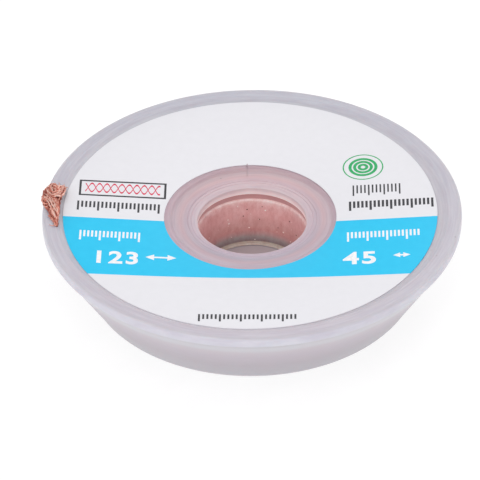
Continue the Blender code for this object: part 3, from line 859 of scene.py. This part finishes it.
# Each strand's copy of the copper, from painted shade to painted highlight, whether it comes up
# over the rim's edge, and its way as (x, y, height above the rim) in millimetres
STRAND_WAYS = [
    (2, True, [(-26.3, 4.89, 0.3), (-26.07, 5.15, 0.45), (-25.75, 5.16, 0.55), (-25.46, 4.85, 0.6),
     (-25.15, 4.6, 0.55), (-24.93, 4.27, 0.45)]),
    (0, True, [(-26.26, 4.75, 0.2), (-25.98, 5.04, 0.3), (-25.66, 5.04, 0.35), (-25.36, 4.62, 0.4),
     (-25.26, 4.15, 0.4)]),
    (2, True, [(-26.1, 5.05, 0.35), (-25.96, 4.12, 0.6), (-25.8, 3.44, 0.7), (-25.58, 3.13, 0.75),
     (-25.32, 3.19, 0.75), (-25.01, 3.54, 0.7), (-24.67, 4.13, 0.6), (-24.33, 4.78, 0.35)]),
    (2, False, [(-25.6, 5.24, 0.35), (-25.67, 4.34, 0.55), (-25.58, 3.84, 0.6), (-25.37, 3.63, 0.6),
     (-25.15, 3.95, 0.6), (-25.06, 4.55, 0.5)]),
    (1, True, [(-26.33, 4.47, 0.35), (-26.05, 3.42, 0.6), (-25.8, 2.91, 0.7), (-25.54, 2.8, 0.72),
     (-25.21, 3.05, 0.7), (-24.85, 3.52, 0.65), (-24.47, 4.19, 0.5)]),
    (2, True, [(-26.58, 4.16, 0.35), (-26.13, 3.09, 0.65), (-25.78, 2.52, 0.8), (-25.45, 2.41, 0.85),
     (-25.07, 2.67, 0.85), (-24.72, 3.14, 0.8), (-24.4, 3.75, 0.65), (-24.22, 4.58, 0.35)]),
    (1, False, [(-24.25, 4.98, 0.2), (-24.31, 4.07, 0.5), (-24.45, 3.24, 0.65), (-24.64, 2.7, 0.65),
     (-24.9, 2.6, 0.5)]),
    (2, False, [(-24.15, 4.74, 0.12), (-24.23, 3.66, 0.45), (-24.37, 3.03, 0.55), (-24.58, 2.71, 0.5),
     (-24.83, 2.58, 0.4)]),
    (1, False, [(-24.44, 5.12, 0.2), (-24.71, 4.53, 0.45), (-24.92, 3.93, 0.55), (-25.16, 3.47, 0.55),
     (-25.45, 3.31, 0.5)]),
    (2, False, [(-25.65, 2.48, 0.6), (-25.36, 2.2, 0.75), (-24.99, 2.26, 0.78), (-24.63, 2.35, 0.65),
     (-24.44, 3.02, 0.3)]),
    (1, True, [(-26.94, 3.37, 0.25), (-26.64, 2.79, 0.5), (-26.36, 2.32, 0.62), (-26.05, 2.0, 0.62),
     (-25.72, 1.78, 0.55)]),
    (2, True, [(-27.05, 2.51, 0.2), (-26.83, 2.28, 0.45), (-26.62, 1.98, 0.6), (-26.47, 1.65, 0.6),
     (-26.4, 1.31, 0.45)]),
    (1, True, [(-27.02, 2.27, 0.15), (-26.91, 1.82, 0.25), (-26.76, 1.43, 0.25), (-26.71, 1.18, 0.15)]),
    (0, True, [(-27.02, 2.9, 0.2), (-26.71, 2.16, 0.4), (-26.49, 1.62, 0.45), (-26.4, 1.21, 0.35)]),
    (0, True, [(-26.86, 4.18, 0.2), (-26.8, 3.39, 0.35), (-26.61, 2.55, 0.45), (-26.29, 2.08, 0.45)]),
    (1, True, [(-26.68, 4.46, 0.25), (-26.55, 3.49, 0.5), (-26.33, 2.78, 0.62), (-26.04, 2.38, 0.65),
     (-25.64, 2.21, 0.6), (-25.41, 1.99, 0.5)]),
    (2, True, [(-26.48, 4.7, 0.3), (-26.16, 3.72, 0.5), (-25.91, 3.25, 0.55)]),
    (2, True, [(-26.98, 2.99, 0.25), (-26.52, 2.19, 0.6), (-26.22, 1.73, 0.75), (-25.92, 1.29, 0.8),
     (-25.66, 0.66, 0.8), (-25.41, 0.03, 0.75), (-25.15, -0.61, 0.65), (-24.95, -1.03, 0.45),
     (-24.95, -1.6, 0.3)]),
    (2, True, [(-26.96, 2.59, 0.2), (-26.54, 2.02, 0.5), (-26.28, 1.46, 0.65), (-26.12, 0.94, 0.72),
     (-25.93, 0.39, 0.72), (-25.74, -0.06, 0.65), (-25.58, -0.54, 0.55), (-25.42, -1.1, 0.45),
     (-25.15, -1.67, 0.3)]),
    (1, True, [(-26.9, 2.12, 0.2), (-26.52, 1.46, 0.45), (-26.31, 0.93, 0.5), (-26.13, 0.39, 0.5),
     (-25.91, -0.17, 0.45), (-25.75, -0.8, 0.4), (-25.55, -1.42, 0.35), (-25.23, -2.03, 0.28),
     (-25.06, -2.86, 0.22), (-25.02, -3.46, 0.15)]),
    (1, False, [(-25.84, 2.47, 0.5), (-25.66, 1.64, 0.65), (-25.48, 0.95, 0.7), (-25.27, 0.33, 0.7),
     (-25.05, -0.19, 0.62), (-24.9, -0.64, 0.5), (-24.92, -1.4, 0.38), (-24.97, -2.3, 0.25)]),
    (2, False, [(-25.39, 1.53, 0.5), (-25.19, 0.61, 0.72), (-24.99, 0.04, 0.68), (-24.88, -0.34, 0.45),
     (-24.9, -0.91, 0.3)]),
    (0, False, [(-25.03, 2.72, 0.3), (-25.13, 1.97, 0.4), (-24.98, 1.34, 0.4), (-24.87, 0.86, 0.3)]),
    (0, False, [(-24.67, 2.96, 0.12), (-24.77, 2.16, 0.25), (-24.82, 1.39, 0.25), (-24.83, 0.76, 0.2),
     (-24.87, -0.14, 0.18), (-24.92, -1.21, 0.18)]),
    (1, False, [(-25.51, 2.15, 0.5), (-25.25, 1.54, 0.6), (-25.02, 0.92, 0.6), (-24.88, 0.5, 0.45),
     (-24.89, -0.32, 0.32), (-24.95, -1.42, 0.28), (-24.99, -2.49, 0.22), (-25.02, -3.42, 0.12)]),
    (0, False, [(-25.69, 0.92, 0.5), (-25.52, 0.08, 0.6), (-25.31, -0.66, 0.58), (-25.16, -1.34, 0.45),
     (-25.03, -2.24, 0.32), (-25.0, -3.42, 0.15)]),
    (1, False, [(-25.99, 0.04, 0.35), (-25.77, -0.9, 0.42), (-25.47, -1.52, 0.42), (-25.19, -2.04, 0.35),
     (-25.05, -2.6, 0.25), (-25.02, -3.38, 0.12)]),
    (2, False, [(-25.8, 0.15, 0.5), (-25.65, -0.73, 0.58), (-25.43, -1.42, 0.52), (-25.14, -1.93, 0.38),
     (-25.02, -2.6, 0.25)]),
    (2, False, [(-25.96, -1.14, 0.12), (-25.78, -1.6, 0.2), (-25.58, -1.98, 0.22), (-25.36, -2.4, 0.22),
     (-25.15, -3.0, 0.18), (-25.05, -3.43, 0.1)]),
]
# Lone wires that stand out of the tuft, as (x, y, height above the rim) in millimetres
LONE_WAYS = [
    [(-25.94, -3.13, 0.1), (-25.67, -3.43, 0.16), (-25.37, -3.43, 0.16), (-25.15, -3.15, 0.14),
     (-25.05, -2.76, 0.14)],
    [(-24.91, 4.66, 0.4), (-24.92, 5.2, 0.55), (-25.0, 5.75, 0.3)],
    [(-24.6, 4.5, 0.3), (-24.35, 5.0, 0.4), (-24.3, 5.4, 0.2)],
    [(-24.26, 4.63, 0.2), (-24.03, 4.74, 0.3), (-23.85, 4.77, 0.15)],
    [(-25.4, 5.0, 0.5), (-25.55, 5.45, 0.45), (-25.45, 5.7, 0.2)],
    [(-26.7, 1.2, 0.3), (-26.72, 0.75, 0.25), (-26.55, 0.5, 0.12)],
]


def side_at(side, y):
    """Where one side of the frayed tuft lies at a place along the rim."""
    for (y0, x0), (y1, x1) in zip(side, side[1:]):
        if y >= y1:
            return x0 + (x1 - x0) * max(0.0, (y0 - y) / (y0 - y1))
    return side[-1][1]


def on_rim(share, y, rise):
    """A point at a share of the tuft's width from its outer side, that high above the rim."""
    outer, inner = side_at(OUTER_SIDE, y), side_at(INNER_SIDE, y)
    return Vector((outer + (inner - outer) * share, y, RIM_TOP + rise))


def over_edge(y, layer):
    """The way up from the notch and round the rim's outer edge, to where the tuft begins."""
    from_notch = 0.0037 + (y - 0.0033) * 0.5
    way = []
    for share, inward, level in (
        (0.0, 0.0012, NOTCH_EXIT_LEVEL - 0.0002),
        (0.0, 0.0001, RIM_UNDERSIDE - 0.00005),
        (0.3, 0.0, RIM_UNDERSIDE + 0.0007),
        (0.75, 0.0001, RIM_TOP + layer * 0.5),
    ):
        here = from_notch + share * (y - from_notch)
        way.append(Vector((inward - sqrt(RIM_RADIUS**2 - here**2) - 0.00005 - layer * 0.2, here, level)))
    return way


def eased(points, passes):
    """Rounds a chain of points by cutting its corners again and again."""
    for _ in range(passes):
        corners_cut = [points[0]]
        for here, there in zip(points, points[1:]):
            corners_cut += [here.lerp(there, 0.25), here.lerp(there, 0.75)]
        points = [*corners_cut, points[-1]]
    return points


def way_points(way):
    """A way's points in metres, pressed down towards the rim."""
    return [Vector((x / 1000, y / 1000, RIM_TOP + rise * PRESSED)) for x, y, rise in way]


def strand_of_wires(middle, count, reach, crimp):
    """Crimped wires that run together along a middle line, lightly twisted round each other."""
    twist = chance.uniform(0.5, 1.4) * chance.choice((-1, 1))
    wavelength = chance.uniform(0.0006, 0.0011)
    lines = []
    for wire in range(count):
        first_turn = 2 * pi * (wire + 0.5 * chance.random()) / count
        out = reach * sqrt((wire + 0.4) / count)
        phase = chance.uniform(-0.8, 0.8)
        line = []
        travelled = 0.0
        for index, point in enumerate(middle):
            before, after = middle[max(0, index - 1)], middle[min(len(middle) - 1, index + 1)]
            travelled += (point - before).length
            core = Vector((point.x, point.y, 0.0)).normalized() * (RIM_RADIUS - 0.0013)
            core += UP * (RIM_TOP - 0.0010)
            side = (after - before).cross(point - core).normalized()
            over = side.cross(after - before).normalized()
            turn = first_turn + 2 * pi * twist * travelled / TWIST_LENGTH
            wave = crimp * sin(2 * pi * travelled / wavelength + phase)
            moved = point + side * (out * cos(turn) + wave) + over * out * sin(turn)
            if point.z > RIM_TOP:
                moved.z = max(moved.z, RIM_TOP + WIRE * 0.6)
            line.append(moved)
        lines.append(line)
    return lines


chance = Random(11)
mat_wires = [[], [], []]
for index in range(MAT_WIRES):
    lane = index / (MAT_WIRES - 1)
    y = BACK - 0.0041 * lane + chance.uniform(-0.0001, 0.0001)
    end_share = min(0.95, max(0.05, 1 - lane + chance.uniform(-0.4, 0.4)))
    end = y + (TIP + 0.0004 - y) * (1 - 0.75 * chance.random() ** 1.5)
    middle = [
        *over_edge(y, 0.00006),
        on_rim(end_share * 0.5, y - 0.0004, MAT_RISE),
        on_rim(end_share, (y + end) / 2, MAT_RISE),
        on_rim(min(0.9, end_share + 0.1), end, 0.00010),
    ]
    mat_wires[index % 2] += strand_of_wires(eased(middle, 2), 1, 0.0, chance.uniform(0.00004, 0.00012))
for _ in range(CURLS):
    y = BACK - 0.0006 - 0.0040 * chance.random() ** 1.2
    centre = on_rim(chance.uniform(0.12, 0.9), y, chance.uniform(0.0002, 0.0005))
    reach = chance.uniform(0.0003, 0.0008)
    first_turn, arc, tilt = chance.uniform(0, 2 * pi), chance.uniform(1.5, 4.0), chance.uniform(-0.25, 0.25)
    middle = []
    for step in range(8):
        turn = first_turn + arc * step / 7
        middle.append(centre + Vector((cos(turn) * 0.8, sin(turn), tilt * sin(turn + 1.0))) * reach)
    mat_wires[chance.choice((0, 1, 1, 2, 2))] += strand_of_wires(eased(middle, 2), 2, 0.00006, 0.00003)
for way in LONE_WAYS:
    mat_wires[1] += strand_of_wires(eased(way_points(way), 3), 1, 0.0, 0.00001)

strand_wires = [[], [], []]
for piece_material, from_edge, way in STRAND_WAYS:
    for _ in range(BUNDLES):
        apart = Vector((chance.uniform(-1, 1), chance.uniform(-1, 1), 0.0)) * BUNDLE_APART
        middle = []
        for point in way_points(way):
            aside = Vector((chance.uniform(-1, 1), chance.uniform(-1, 1), chance.uniform(-0.8, 0.4)))
            middle.append(point + apart + aside * BUNDLE_WANDER)
        if from_edge:
            middle = over_edge(middle[0].y, middle[0].z - RIM_TOP) + middle
        mixed = chance.choice((piece_material, piece_material, max(0, piece_material - 1), min(2, piece_material + 1), chance.randrange(3)))
        crimp = chance.uniform(0.00003, 0.00008)
        strand_wires[mixed] += strand_of_wires(eased(middle, 3), 2, 0.00007, crimp)

# Three copies of the same copper: the darker is partly tarnish and partly painted shade, the lighter is a
# painted highlight.
tarnished_and_shaded_wire = bare_copper("tarnished_and_shaded_copper_wire", [(0.1, "8E3E34"), (0.9, "CA7462")], 0.40)
painted_highlight_wire = bare_copper("painted_highlight_copper_wire", [(0.1, "F0B09E"), (0.9, "FFE0D4")], 0.30)
for name, wires in (("frayed_mat", mat_wires), ("frayed_strands", strand_wires)):
    tuft_bm = bmesh.new()
    for piece_material, lines in enumerate(wires):
        part_bm = swept("frayed_wires", lines, WIRE, roundness=0)
        for face in part_bm.faces:
            face.material_index = piece_material
        part = bpy.data.meshes.new("frayed_wires")
        part_bm.to_mesh(part)
        part_bm.free()
        tuft_bm.from_mesh(part)
    tuft = add_piece(name, tuft_bm, tarnished_and_shaded_wire, sharp=100)
    tuft.data.materials.append(copper_wire)
    tuft.data.materials.append(painted_highlight_wire)
    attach(tuft, "root")

# Studio: a table of white acrylic that is lit from below, so that shadows on it stay faint, and a
# large white tent round it, with a soft light on each side. Where the bobbin's foot covers the table,
# its glow is left out and its tone is a pinkish grey: painted shade.
FLOOR_SIZE = 1.5
TABLE_GLOW = 0.79
SKY_STRENGTH = 0.76
CAMERA_ELEVATION = radians(36.65)
CAMERA_ROLL = radians(-0.75)
CAMERA_AIM = 0.0108
CAMERA_DISTANCE = 0.480
CAMERA_LENS = 279.8
CAMERA_SHIFT = (-0.0248, -0.0656)

table_top, tree, place, shader = new_material("lit_white_acrylic")
grain = add_node(tree, "TexNoise", [("Vector", place), ("Scale", 0.3 * PER_MM), ("Detail", 3.0)])
tone = add_node(tree, "ValToRGB", [("Fac", grain)], [(0.3, "848484"), (0.7, "888888")])
# Painted shade: no glow under the bobbin's foot.
covered = add_node(tree, "Math", [(0, axis_radius(tree, place)), (1, FOOT_RADIUS)], operation="LESS_THAN")
table_tone = [("Factor", covered), (COLOUR_A, tone), (COLOUR_B, linear("B8B2B6"))]
table_tone = add_node(tree, "Mix", table_tone, data_type="RGBA").outputs[COLOUR_OUT]
lit = add_node(tree, "MapRange", [("Value", covered), ("To Min", TABLE_GLOW), ("To Max", 0.0)])
set_inputs(tree, shader, [
    ("Base Color", table_tone),
    ("Roughness", 0.6),
    ("Emission Color", (1.0, 1.0, 1.0, 1.0)),
    ("Emission Strength", lit),
])
floor_bm = bmesh.new()
bmesh.ops.create_grid(floor_bm, x_segments=2, y_segments=2, size=FLOOR_SIZE / 2)
floor = add_piece("table_top", floor_bm, table_top)

world = bpy.data.worlds.new("white_tent")
bpy.context.scene.world = world
world.use_nodes = True
world.node_tree.nodes.clear()
sky = add_node(world.node_tree, "Background", [("Color", (1.0, 1.0, 1.0, 1.0)), ("Strength", SKY_STRENGTH)])
add_node(world.node_tree, "OutputWorld", [("Surface", sky)])

for name, where, size, power in (
    ("key_softbox", (-0.25, -0.45, 0.75), 0.6, 2.0),
    ("rim_softbox", (0.35, 0.45, 0.60), 0.5, 0.9),
):
    lamp = bpy.data.lights.new(name, "AREA")
    lamp.size = size
    lamp.energy = power
    light = bpy.data.objects.new(name, lamp)
    light.location = where
    light.rotation_euler = (-Vector(where)).to_track_quat("-Z", "Y").to_euler()
    bpy.context.collection.objects.link(light)

aim = Vector((0.0, 0.0, CAMERA_AIM))
lens = bpy.data.cameras.new("camera")
lens.lens = CAMERA_LENS
lens.shift_x, lens.shift_y = CAMERA_SHIFT
lens.clip_start = 0.01
camera = bpy.data.objects.new("camera", lens)
camera.location = aim + Vector((0.0, -cos(CAMERA_ELEVATION), sin(CAMERA_ELEVATION))) * CAMERA_DISTANCE
tilted = Matrix.Rotation(pi / 2 - CAMERA_ELEVATION, 3, "X") @ Matrix.Rotation(CAMERA_ROLL, 3, "Z")
camera.rotation_euler = tilted.to_euler()
bpy.context.collection.objects.link(camera)
bpy.context.scene.camera = camera
bpy.context.scene.view_settings.view_transform = "Standard"
